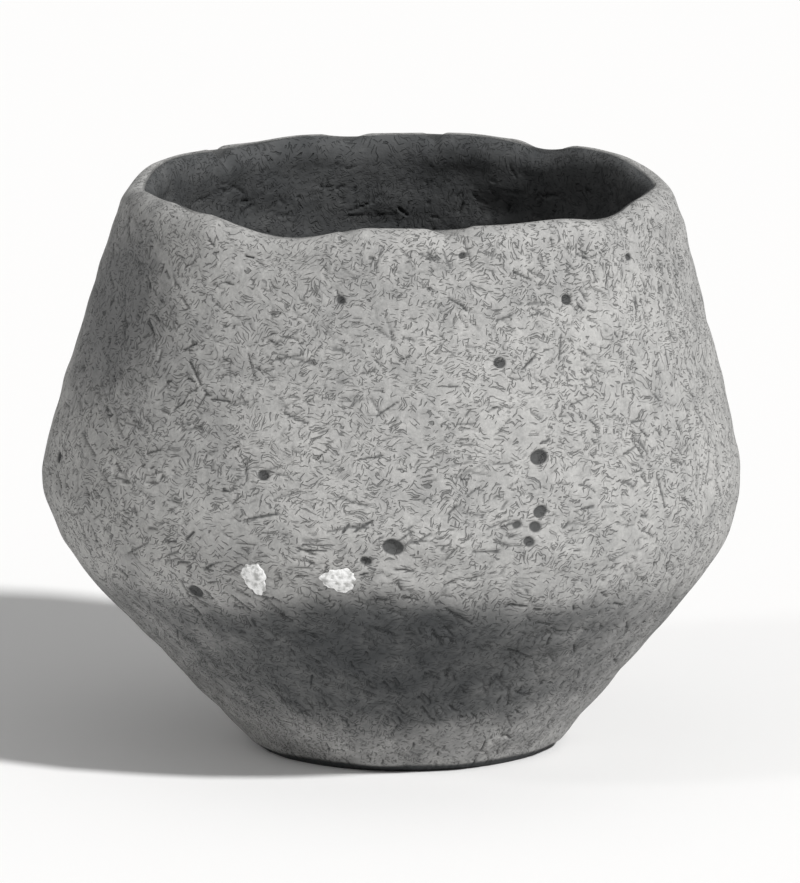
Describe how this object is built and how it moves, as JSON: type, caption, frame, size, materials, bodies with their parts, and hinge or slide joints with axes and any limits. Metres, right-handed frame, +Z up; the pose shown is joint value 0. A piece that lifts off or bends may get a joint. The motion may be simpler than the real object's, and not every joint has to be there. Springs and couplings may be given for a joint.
{
  "type": "pot",
  "caption": "Hand-built prehistoric clay pot with a small flat foot, flaring lower wall, rounded keeled belly, inward-leaning neck and a plain uneven lip.",
  "frame": {"origin": "on the ground, at the middle of the pot's plan outline, which is under the belly's centre", "axes": "+Z up through the mouth, +X to the right as the pot is seen in the picture, -Y towards the viewer"},
  "size_m": [0.1498, 0.1476, 0.1227],
  "materials": {
    "pale_clay": "matte",
    "smoked_clay": "matte",
    "lime": "matte"
  },
  "bodies": {
    "root": {"base_slab": "smoked_clay", "belly_slab_1": "pale_clay", "belly_slab_2": "pale_clay", "belly_slab_3": "pale_clay", "belly_slab_4": "pale_clay", "belly_slab_5": "pale_clay", "belly_slab_6": "pale_clay", "belly_slab_7": "pale_clay", "lime_spot_left": "lime", "lime_spot_right": "lime", "lower_wall_slab_1": "smoked_clay", "lower_wall_slab_2": "smoked_clay", "lower_wall_slab_3": "smoked_clay", "lower_wall_slab_4": "smoked_clay", "lower_wall_slab_5": "smoked_clay", "neck_slab_1": "pale_clay", "neck_slab_2": "pale_clay", "neck_slab_3": "pale_clay", "neck_slab_4": "pale_clay", "neck_slab_5": "pale_clay", "neck_slab_6": "pale_clay", "rim_strip_1": "pale_clay", "rim_strip_2": "pale_clay", "rim_strip_3": "pale_clay", "shoulder_slab_1": "pale_clay", "shoulder_slab_2": "pale_clay", "shoulder_slab_3": "pale_clay", "shoulder_slab_4": "pale_clay", "shoulder_slab_5": "pale_clay", "shoulder_slab_6": "pale_clay"}
  },
  "joints": []
}
